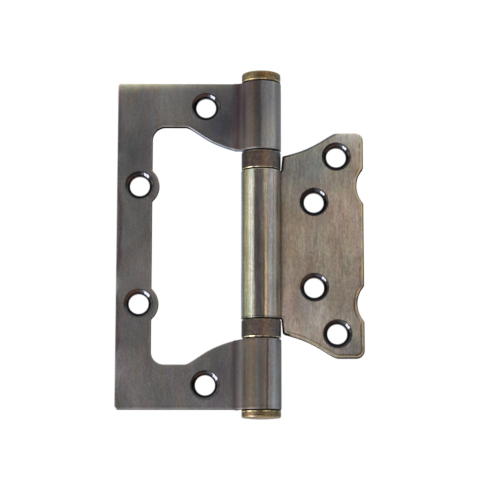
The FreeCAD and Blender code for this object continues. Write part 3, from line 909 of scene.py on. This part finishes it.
    # painted shade: near-black on the edges of the notches beside the bearings
    notch = N.m("MULTIPLY", N.m("MULTIPLY", N.rng(edge, 0.72, 0.34), N.rng(N.m("ABSOLUTE", z), 21.0, 22.5)), N.m("MULTIPLY", N.rng(u, 9.4, 8.2), lip_dark * lip_dark))
    notch = N.m("MULTIPLY", notch, N.m("MAXIMUM", N.m("SUBTRACT", 1.0, kn), N.rng(z, -10.0, -20.0, 0.0, 0.5)))
    col = N.mix(notch, col, (0.030, 0.024, 0.026))
    # the walls and the lip also tint their specular reflection with these painted reflection colours
    tcol = N.mix(outer, N.scale(wall_in, 1.2), N.scale(wall_out, 1.4))
    both = N.m("MAXIMUM", wall, N.m("MULTIPLY", lip, lip_dark))
    N.put(N.bsdf.inputs["Specular Tint"], N.mix(both, (1.0, 1.0, 1.0), tcol))
    # countersinks: blackened in the hollow, with painted light by position round the hole: a painted brown reflection
    # at the upper left, a lighter painted reflection on the lower half, a lighter base at the upper right where the low
    # window lamp glints, and a painted dark ring at the bore, stronger on the lower half
    cone = N.mix(N.m("MULTIPLY", cone_painted_light, N.rng(cloud, 0.40, 0.55)), (0.018, 0.016, 0.021), (0.095, 0.050, 0.038))
    glint_side = N.m("SUBTRACT", 1.0, N.m("ADD", N.m("MULTIPLY", cone_painted_light, 1.6), N.m("MULTIPLY", lower_half, 3.0)), clamp=True)
    cone = N.mix(glint_side, cone, (0.070, 0.068, 0.080))
    cone = N.mix(lower_half, cone, cone_low_reflection)
    cone = N.mix(N.m("MULTIPLY", inner, N.m("ADD", 0.25, N.m("MULTIPLY", lower_half, 0.75))), cone, (0.032, 0.030, 0.036))
    col = N.mix(csk, col, N.scale(cone, N.m("ADD", 1.0, swing_of(grain, 1.5))))
    N.put(N.bsdf.inputs["Base Color"], col)
    N.bsdf.inputs["Metallic"].default_value = 1.0
    r = N.m("ADD", rough, swing_of(grain, 0.16))
    r = N.m("ADD", r, swing_of(cloud, 0.16))
    r = N.m("ADD", r, swing_of(streak, 0.12))
    r_k = ramp(N, wob, lo_u, hi_u, rolls["rough"])
    rk = N.m("ADD", N.sep(r_k)[0], swing_of(mid, 0.12))
    mr = N.new("ShaderNodeMix", data_type="FLOAT")
    N.put(mr.inputs[0], kn)
    N.put(mr.inputs[2], r)
    N.put(mr.inputs[3], rk)
    r = N.m("ADD", mr.outputs[0], N.m("MULTIPLY", wall, -0.08))
    mr = N.new("ShaderNodeMix", data_type="FLOAT")
    N.put(mr.inputs[0], csk)
    N.put(mr.inputs[2], r)
    N.put(mr.inputs[3], N.m("ADD", 0.13, swing_of(grain, 0.1)))
    N.put(N.bsdf.inputs["Roughness"], mr.outputs[0])
    hgt = N.m("ADD", N.m("ADD", N.m("MULTIPLY", hair, 0.25), N.m("MULTIPLY", grain, 0.8)), N.m("MULTIPLY", streak, 0.6))
    hgt = N.m("MULTIPLY", hgt, N.m("SUBTRACT", 1.0, N.m("MULTIPLY", csk, 0.9)))
    fine_n = N.bump(hgt, 0.000006, 0.8)
    # orange peel left by rolling the knuckle
    peel = N.m("MULTIPLY", N.noise(N.stretch(sheet, (0.42, 1.0, 0.16), off2), 1.0, 2.0, 0.5), N.m("MULTIPLY", kn, N.m("SUBTRACT", 1.0, csk)))
    N.put(N.bsdf.inputs["Normal"], N.bump(peel, rolls["peel"], 1.0, fine_n))
    return N.mat


def turned_material(name, dark, light, third, gold, rough, seed, round_stops, ring_freq=3.0, wear_highlight_r=(5.7, 5.9), wear_highlight_amount=0.85, groove=None, dark_ends=()):
    """Antique-bronzed turned piece: fine turning lines round the axis, gold on the high edges, partly worn brass and
    partly painted highlight.
    round_stops: colour against the sine of the angle round the axis, on the -Y side: painted reflection bands.
    groove: distance from the middle of the joint beside the knuckle, with a painted highlight line on the bevel and
    painted shade at the joint; dark_ends: heights of other joints, where painted shade darkens the ring's upper end."""
    N = Nodes(name)
    p = N.objmm()
    x, y, z = N.sep(p)
    r = N.m("SQRT", N.m("ADD", N.m("MULTIPLY", x, x), N.m("MULTIPLY", y, y)))
    ang = N.m("ARCTAN2", y, x)
    cmb = N.new("ShaderNodeCombineXYZ")
    N.put(cmb.inputs[0], N.m("MULTIPLY", r, 1.0))
    N.put(cmb.inputs[1], N.m("MULTIPLY", N.m("SINE", ang), 0.9))
    N.put(cmb.inputs[2], z)
    cyl = cmb.outputs[0]
    fine = N.noise(N.stretch(cyl, (ring_freq, 0.5, ring_freq * 1.3), (seed, 0, 0)), 1.0, 4.0, 0.65)
    cloud = N.noise(N.stretch(p, (0.28, 0.28, 0.5), (seed * 3.1, 1, 2)), 1.0, 3.0, 0.6, 0.5)
    vert = N.noise(N.stretch(p, (1.2, 1.2, 0.12), (seed * 1.7, 4, 2)), 1.0, 3.0, 0.6)
    tone = N.m("ADD", N.m("ADD", N.m("MULTIPLY", N.m("SUBTRACT", fine, 0.5), 0.6), N.m("MULTIPLY", N.m("SUBTRACT", cloud, 0.5), 0.9)),
               N.m("ADD", N.m("MULTIPLY", N.m("SUBTRACT", vert, 0.5), 0.6), 0.5), clamp=True)
    col = N.mix(tone, dark, light)
    patch = N.noise(N.stretch(p, (0.45, 0.45, 0.8), (seed * 2.3, 5, 1)), 1.0, 4.0, 0.65, 0.6)
    col = N.mix(N.rng(patch, 0.46, 0.62), col, third)
    col = N.tints(col, N.stretch(p, (1.3, 1.3, 1.5), (seed, 3, 8)), 1.1, 3.0, 0.7)
    col = N.scale(col, N.m("EXPONENT", N.m("MULTIPLY", N.m("SUBTRACT", N.noise(N.stretch(p, (1.6, 1.6, 1.9), (seed, 3, 9)), 1.0, 3.0, 0.75), 0.5), 2.2)))
    s_ = N.m("ADD", N.m("DIVIDE", x, N.m("MAXIMUM", r, 0.001)), N.m("MULTIPLY", N.m("SUBTRACT", cloud, 0.5), 0.16))
    # painted reflection bands across the -Y side, by position round the axis
    col = N.mix(N.rng(y, 2.0, -1.0), col, N.mix(1.0, col, ramp(N, s_, -1.2, 1.2, round_stops), "MULTIPLY"))
    geo = N.new("ShaderNodeNewGeometry")
    nx, ny, nz = N.sep(geo.outputs["Normal"])
    # gold on the rounded shoulders: partly worn brass, partly painted highlight where the rims catch light
    shoulder = N.m("MULTIPLY", N.rng(N.m("ABSOLUTE", nz), 0.12, 0.5), N.rng(N.m("ABSOLUTE", nz), 0.995, 0.9))
    spots = N.rng(N.noise(N.stretch(p, (0.7, 0.7, 0.7), (seed, 7, 1)), 1.0, 4.0, 0.65), 0.36, 0.6)
    wear_and_highlight = N.m("MULTIPLY", N.m("MULTIPLY", shoulder, N.rng(r, wear_highlight_r[0] - 0.5, wear_highlight_r[0])), spots)
    col = N.mix(N.m("MULTIPLY", wear_and_highlight, wear_highlight_amount), col, gold)
    # painted shade at the upper end of each ring, in the joint under the part above
    for g in dark_ends:
        col = N.mix(N.rng(N.m("ABSOLUTE", N.m("SUBTRACT", z, g)), 0.80, 0.42, 0.0, 0.85), col, (0.022, 0.016, 0.014))
    # beside the joint with the knuckle: a painted highlight line on the bevel, painted shade at the joint
    if groove:
        deep = N.m("ABSOLUTE", N.m("SUBTRACT", N.m("ABSOLUTE", z), groove))
        lip = N.m("MULTIPLY", N.rng(N.m("ABSOLUTE", N.m("SUBTRACT", deep, 0.62)), 0.24, 0.06), N.rng(patch, 0.40, 0.54))
        col = N.mix(lip, col, gold)
        col = N.mix(N.rng(deep, 0.50, 0.26), col, (0.022, 0.014, 0.012))
    N.put(N.bsdf.inputs["Base Color"], col)
    N.bsdf.inputs["Metallic"].default_value = 1.0
    rr = N.m("ADD", rough, N.m("MULTIPLY", N.m("SUBTRACT", cloud, 0.5), 0.18))
    rr = N.m("ADD", rr, N.m("MULTIPLY", N.m("SUBTRACT", fine, 0.5), 0.12), clamp=True)
    N.put(N.bsdf.inputs["Roughness"], rr)
    N.put(N.bsdf.inputs["Normal"], N.bump(N.m("ADD", fine, N.m("MULTIPLY", vert, 0.5)), 0.000005, 0.8))
    return N.mat


def bearing_material(name):
    N = Nodes(name)
    p = N.objmm()
    x, y, z = N.sep(p)
    n1 = N.noise(N.stretch(p, (2.0, 2.0, 9.0)), 1.0, 3.0)
    # races kept dark as painted shade for the gaps between knuckles and rings
    col = N.mix(n1, (0.055, 0.05, 0.045), (0.13, 0.12, 0.11))
    N.put(N.bsdf.inputs["Base Color"], col)
    N.bsdf.inputs["Metallic"].default_value = 1.0
    N.put(N.bsdf.inputs["Roughness"], N.rng(n1, 0.3, 0.7, 0.22, 0.34, "LINEAR"))
    N.put(N.bsdf.inputs["Normal"], N.bump(n1, 0.000004, 0.5))
    return N.mat


# ---------------------------------------------------------------------------
# build
# ---------------------------------------------------------------------------
FR = Roll(FRAME_BEND)
DR = Roll(DOOR_BEND)

frame_leaf = build_leaf("frame_leaf_sheet", FR, frame_outline(FR),
                        [(x, s * z) for x, z in FRAME_HOLES for s in (1, -1)], -1, False, 11, (0.0015, 0.006))
door_leaf = build_leaf("door_leaf_sheet", DR, door_outline(DR),
                       [(-x, s * z) for x, z in DOOR_HOLES for s in (1, -1)], 1, True, 7, (0.0015, 0.010))
pin = lathe("pin_head_and_shaft", button_profile(2.6, 0.35, 0.6, 50.0, 1, 3.49, -44.0, 0.34))
plug = lathe("bottom_button", button_profile(1.9, 0.35, 0.6, -50.0, -1, 3.6, -44.0, 0.34))
case_u = lathe("upper_ring", casing_profile(DOOR_KN))
case_l = lathe("lower_ring", casing_profile(-FRAME_KN))

m_frame = sheet_material(
    "bronzed_sheet_dark", (0.290, 0.281, 0.297), (0.308, 0.270, 0.260), (0.90, 0.83, 0.72), (0.38, 0.44, 0.52), (0.085, 0.068, 0.078), 0.45, (0.076, 0.081, 0.095), 0.40, 0.28, 0.26,
    # frame patches: painted shade beside the upper bend, painted highlight strips along the top edge, a painted dark
    # reflection down the left edge, and softer painted light and shade elsewhere
    [(-12.0, 41.0, 9.0, 11.0, (0.50, 0.52, 0.62)), (-41.0, 29.0, 8.0, 11.0, (0.70, 0.72, 0.79)), (-13.0, 36.5, 6.0, 4.0, (0.82, 0.82, 0.88)), (-19.5, 39.5, 3.0, 3.5, (1.22, 1.20, 1.12)),
     (-13.0, -43.0, 7.0, 10.0, (0.78, 0.80, 0.84)), (-41.0, 50.0, 8.0, 1.7, (2.5, 2.5, 2.05)), (-25.0, 50.0, 13.0, 1.4, (1.6, 1.62, 1.35)),
     (-43.9, 0.0, 0.7, 60.0, (0.62, 0.56, 0.64)), (-38.0, -26.0, 12.0, 26.0, (0.90, 0.90, 0.89)), (-28.0, -46.0, 12.0, 8.0, (1.10, 1.10, 1.09))],
    {"from": (10.4, 8.2), "range": (-12.0, 9.5), "z": (-6.0, 6.0), "peel": 0.00004,
     "upper": [(-12, 0.7), (-8.5, (0.72, 0.70, 0.64)), (-7.2, (0.95, 0.96, 0.92)), (-6.2, (1.12, 1.16, 1.15)), (-5.0, (1.40, 1.54, 1.48)), (-3.6, (1.20, 1.30, 1.30)), (-2.0, (1.0, 1.02, 1.05)), (-1.55, (0.62, 0.60, 0.65)),
               (-1.2, (0.47, 0.45, 0.48)), (-0.5, (0.40, 0.40, 0.43)), (0.2, (0.44, 0.36, 0.31)), (0.6, (0.56, 0.42, 0.33)), (1.2, (0.46, 0.42, 0.42)), (2.6, (0.58, 0.51, 0.51)),
               (4.4, (0.54, 0.47, 0.49)), (5.2, (0.50, 0.43, 0.44)), (5.9, (0.42, 0.32, 0.33)), (6.5, (0.38, 0.27, 0.29)), (7.2, (0.60, 0.46, 0.48)), (8.0, (0.82, 0.70, 0.71)), (9.5, 0.95)],
     "lower": [(-12, 0.6), (-9.0, (0.30, 0.22, 0.18)), (-8.2, (0.42, 0.31, 0.25)), (-7.4, (0.73, 0.67, 0.62)), (-6.2, (1.27, 1.37, 1.45)), (-5.0, (1.36, 1.46, 1.58)), (-4.0, (1.1, 1.08, 1.08)), (-3.55, 1.0), (-3.1, (0.36, 0.31, 0.30)),
               (-2.6, (0.84, 0.75, 0.70)), (-1.9, (0.70, 0.66, 0.62)), (-1.0, 0.66),
               (0.2, (0.46, 0.38, 0.28)), (1.3, (0.42, 0.35, 0.26)), (2.6, (0.46, 0.41, 0.36)), (4.5, (0.47, 0.42, 0.41)), (6.8, (0.38, 0.35, 0.35)), (7.8, (0.46, 0.42, 0.42)), (9.5, 0.88)],
     "rough": [(-12, 0.38), (-4.0, 0.36), (-1.5, 0.42), (0.5, 0.50), (4.0, 0.52), (9.5, 0.42)]},
    (0.66, 0.30, 0.75, 0.5, 0.55), 1)
m_door = sheet_material(
    "bronzed_sheet_light", (0.655, 0.572, 0.490), (0.64, 0.505, 0.40), (1.0, 0.80, 0.42), (0.055, 0.034, 0.024), (0.055, 0.034, 0.024), 1.0, (0.042, 0.042, 0.054), 0.38, 1.2, 0.58,
    # door patches: painted light and shade across the leaf, darker near the notch and lighter at the upper corner
    [(-11.0, 22.0, 7.0, 8.0, (0.68, 0.78, 0.92)), (-18.0, 26.0, 5.0, 7.0, (0.80, 0.96, 1.14)), (-27.5, 32.0, 5.0, 4.5, (1.55, 1.72, 1.92)),
     (-10.0, 2.0, 3.5, 14.0, (1.10, 1.10, 1.06)), (-17.0, -23.0, 9.0, 7.0, (1.12, 1.18, 1.34)), (-9.0, -20.0, 2.5, 8.0, (0.92, 0.82, 0.84)),
     (-27.0, -32.2, 6.0, 3.2, (0.60, 0.65, 0.78)), (-28.5, 0.0, 3.0, 16.0, (0.92, 0.92, 0.95))],
    {"from": (5.6, 4.2), "range": (-26.0, 6.0), "z": (-9.0, 9.0), "peel": 0.00009,
     "upper": [(-26, 0.5), (-23.0, (0.42, 0.43, 0.48)), (-21.9, (0.64, 0.72, 0.77)), (-20.9, (0.92, 1.02, 1.10)), (-19.6, (0.80, 0.90, 1.05)), (-18.7, (0.80, 0.88, 1.0)),
               (-18.1, (0.90, 0.92, 0.95)), (-17.5, (0.76, 0.82, 0.90)), (-16.0, (0.68, 0.76, 0.88)), (-14.9, (0.66, 0.76, 0.82)), (-13.8, (0.62, 0.73, 0.75)),
               (-12.9, (0.72, 0.80, 0.64)), (-12.2, (0.67, 0.73, 0.71)), (-11.2, (0.66, 0.76, 0.93)), (-8, 0.8), (6, 0.8)],
     "lower": [(-26, 0.5), (-23.0, (0.40, 0.41, 0.46)), (-21.9, (0.58, 0.64, 0.71)), (-20.9, (0.82, 0.92, 1.0)), (-19.6, (0.80, 0.90, 1.05)), (-18.8, (0.76, 0.84, 0.98)),
               (-18.4, (1.22, 1.14, 1.0)), (-18.1, (1.22, 1.14, 1.0)), (-17.85, (0.40, 0.40, 0.44)), (-17.6, (0.46, 0.46, 0.50)), (-17.3, (0.78, 0.80, 0.92)),
               (-16.0, (0.68, 0.76, 0.88)), (-14.9, (0.68, 0.78, 0.84)), (-13.8, (0.58, 0.69, 0.71)), (-12.9, (0.70, 0.80, 0.70)), (-12.2, (0.66, 0.74, 0.74)),
               (-11.2, (0.66, 0.78, 0.94)), (-8, 0.8), (6, 0.8)],
     "rough": [(-26, 0.3), (-20, 0.22), (-16, 0.19), (-12, 0.19), (6, 0.3)]},
    (0.85, 0.70, 0.9, 1.7, 0.50), 2)
m_button = turned_material("bronzed_button", (0.17, 0.15, 0.105), (0.33, 0.28, 0.18), (0.27, 0.16, 0.08), (0.95, 0.82, 0.52), 0.36, 3.0,
                           [(-1.2, 0.8), (-0.9, (0.85, 0.85, 0.80)), (-0.5, (0.80, 0.72, 0.66)), (0.0, (1.0, 0.86, 0.70)), (0.4, (1.1, 1.0, 0.80)), (0.8, 1.0), (1.2, 0.8)],
                           wear_highlight_amount=0.12, groove=50.0)
m_ring = turned_material("bronzed_ring", (0.115, 0.095, 0.088), (0.22, 0.19, 0.165), (0.16, 0.125, 0.12), (0.85, 0.72, 0.48), 0.40, 5.0,
                         [(-1.2, (0.9, 1.0, 1.25)), (-0.9, (0.46, 0.48, 0.54)), (-0.5, (0.48, 0.44, 0.44)), (-0.1, (1.15, 1.02, 1.08)), (0.12, (1.5, 1.29, 1.07)), (0.32, (1.45, 1.26, 1.02)),
                          (0.5, (1.12, 1.12, 1.2)), (0.8, (1.1, 1.2, 1.4)), (1.0, (0.7, 0.85, 1.2)), (1.2, 0.7)],
                         dark_ends=(FRAME_KN, -DOOR_KN))
m_steel = bearing_material("bearing_steel")

for ob, mat, node, body, slot in (
        (frame_leaf, m_frame, "frame_leaf", "frame", "bronzed_steel"),
        (door_leaf, m_door, "door_leaf", "door", "bronzed_steel_light"),
        (pin, m_button, "pin", "frame", "button_brass"),
        (plug, m_button, "bottom_plug", "frame", "button_brass"),
        (case_u, m_ring, "upper_bearing_casing", "door", "casing_brass"),
        (case_l, m_ring, "lower_bearing_casing", "frame", "casing_brass")):
    ob.data.materials.append(mat)
    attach(ob, body)
    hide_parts(node)

for n in ("upper_bearing_lower_race", "upper_bearing_upper_race", "upper_bearing_balls",
          "lower_bearing_lower_race", "lower_bearing_upper_race", "lower_bearing_balls"):
    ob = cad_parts[n]
    for s in ob.material_slots:
        s.material = m_steel

# ---------------------------------------------------------------------------
# stage: pale floor, plain light, camera
# ---------------------------------------------------------------------------
fm = Nodes("pale_floor")
fn = fm.noise(fm.stretch(fm.objmm(), (0.01, 0.01, 0.01)), 1.0, 2.0)
fm.put(fm.bsdf.inputs["Base Color"], fm.mix(fn, (0.84, 0.84, 0.84), (0.88, 0.88, 0.88)))
fm.bsdf.inputs["Roughness"].default_value = 0.9
me = bpy.data.meshes.new("floor")
S, FZ = 1.3, -0.25
me.from_pydata([(-S, -S, FZ), (S, -S, FZ), (S, S, FZ), (-S, S, FZ)], [], [(0, 1, 2, 3)])
floor = bpy.data.objects.new("floor", me)
me.materials.append(fm.mat)
bpy.context.scene.collection.objects.link(floor)

world = bpy.data.worlds.new("studio")
bpy.context.scene.world = world
world.use_nodes = True
wt = world.node_tree
wt.nodes.clear()


class W(Nodes):
    def __init__(self, tree):
        self.t = tree


w = W(wt)
tc = w.new("ShaderNodeTexCoord")
dx, dy, dz = w.sep(tc.outputs["Generated"])
az = w.m("ARCTAN2", dx, w.m("MULTIPLY", dy, -1.0))      # 0 towards -Y, + towards +X


def lobe(a0, half, soft, lo_z=-2.0, hi_z=2.0):
    """1 within half of a0 (degrees of azimuth), falling to 0 over soft."""
    d = w.m("ABSOLUTE", w.m("WRAP", w.m("SUBTRACT", az, math.radians(a0)), math.pi, -math.pi))
    return w.rng(d, math.radians(half + soft), math.radians(half))


azd = w.m("DEGREES", az)
eld = w.m("DEGREES", w.m("ARCSINE", w.m("MAXIMUM", -1.0, w.m("MINIMUM", 1.0, dz))))
# what the room shows at eye level, by azimuth: window on the left, dark gap beside the lens, softer wall on the right
band = ramp(w, azd, -180, 180, [
    (-180, (0.60, 0.64, 0.68)), (-160, (0.55, 0.60, 0.65)), (-145, (0.42, 0.47, 0.52)), (-130, (0.30, 0.33, 0.36)), (-122, (0.25, 0.25, 0.26)),
    (-113, (0.42, 0.40, 0.30)), (-102, (0.72, 0.70, 0.48)), (-90, (0.95, 0.93, 0.72)), (-78, (1.15, 1.15, 0.98)), (-70, (1.42, 1.42, 1.26)), (-54, (1.42, 1.42, 1.28)),
    (-47, (1.0, 0.98, 0.88)), (-41, (0.32, 0.28, 0.27)), (-36, (0.12, 0.105, 0.115)), (-8, (0.105, 0.095, 0.105)), (6, (0.16, 0.15, 0.155)),
    (15, (0.30, 0.26, 0.22)), (20, (0.60, 0.51, 0.40)), (24, (0.72, 0.62, 0.49)), (29, (0.62, 0.54, 0.44)), (35, (0.45, 0.43, 0.41)), (60, (0.47, 0.47, 0.48)),
    (82, (0.50, 0.51, 0.50)), (93, (0.28, 0.27, 0.25)), (110, (0.28, 0.28, 0.28)), (130, (0.45, 0.48, 0.52)), (180, (0.60, 0.64, 0.68))])
upper = ramp(w, azd, -180, 180, [
    (-180, (0.75, 0.78, 0.80)), (-90, (1.0, 1.0, 0.95)), (-40, (0.85, 0.85, 0.76)), (0, (0.80, 0.80, 0.68)), (45, (0.80, 0.78, 0.70)), (100, (0.75, 0.76, 0.76)), (180, (0.75, 0.78, 0.80))])
lower = ramp(w, azd, -180, 180, [
    (-180, (0.70, 0.72, 0.74)), (-90, (0.60, 0.58, 0.52)), (0, (0.45, 0.41, 0.36)), (60, (0.60, 0.54, 0.44)), (110, (0.62, 0.60, 0.56)), (180, (0.70, 0.72, 0.74))])
colr = w.mix(w.rng(eld, 14.0, 26.0), band, upper)
colr = w.mix(w.rng(eld, -12.0, -24.0), colr, lower)
total = w.m("MULTIPLY", 1.0, 1.0)
lp = w.new("ShaderNodeLightPath")
strength = w.m("ADD", w.m("MULTIPLY", total, w.m("SUBTRACT", 1.0, lp.outputs["Is Camera Ray"])), lp.outputs["Is Camera Ray"])
colr = w.mix(lp.outputs["Is Camera Ray"], colr, (1.0, 1.0, 1.0))
bg = w.new("ShaderNodeBackground")
w.link(colr, bg.inputs["Color"])
w.link(strength, bg.inputs["Strength"])
ow = w.new("ShaderNodeOutputWorld")
w.link(bg.outputs[0], ow.inputs[0])

# camera, solved from the photograph: half a metre away, 9 degrees below the middle
AZ, EL, ROLL, DIST, FPX = math.radians(-0.59), math.radians(-8.75), math.radians(0.03), 0.500, 1644.5
TX, TZ = -0.00341, -0.00155
cam = bpy.data.cameras.new("camera")
cam.sensor_fit = "HORIZONTAL"
cam.sensor_width = 36.0
cam.lens = FPX * 36.0 / 500.0
cam.clip_start = 0.01
cam.clip_end = 20.0
co = bpy.data.objects.new("camera", cam)
bpy.context.scene.collection.objects.link(co)
pos = Vector((math.sin(AZ) * math.cos(EL), -math.cos(AZ) * math.cos(EL), math.sin(EL))) * DIST + Vector((TX, 0, TZ))
fwd = (Vector((TX, 0, TZ)) - pos).normalized()
right = fwd.cross(Vector((0, 0, 1))).normalized()
upv = right.cross(fwd)
r2 = right * math.cos(ROLL) + upv * math.sin(ROLL)
u2 = -right * math.sin(ROLL) + upv * math.cos(ROLL)
m = Matrix((r2, u2, -fwd)).transposed().to_4x4()
m.translation = pos
co.matrix_world = m
bpy.context.scene.camera = co

def soft_light(name, at, aim, size, watts, col):
    d = bpy.data.lights.new(name, "AREA")
    d.shape = "RECTANGLE"
    d.size, d.size_y = size
    d.energy = watts
    d.color = col
    o = bpy.data.objects.new(name, d)
    bpy.context.scene.collection.objects.link(o)
    o.location = at
    o.rotation_euler = (Vector(aim) - Vector(at)).to_track_quat("-Z", "Y").to_euler()
    o.visible_camera = False
    return o


# low window far to the left, two panes: lights the countersinks' upper right
for k, step in enumerate((-0.036, 0.036)):
    q = Vector((-0.222, -0.092, -0.188)) + Vector((-0.65, 0.0, 0.76)) * step
    soft_light("low_window_%d" % (k + 1), q, (0.0, 0.0, 0.0), (0.17, 0.06), 0.50, (0.96, 0.98, 1.0))

bpy.context.scene.view_settings.view_transform = "Standard"
bpy.context.scene.view_settings.look = "None"

bpy.context.view_layer.update()
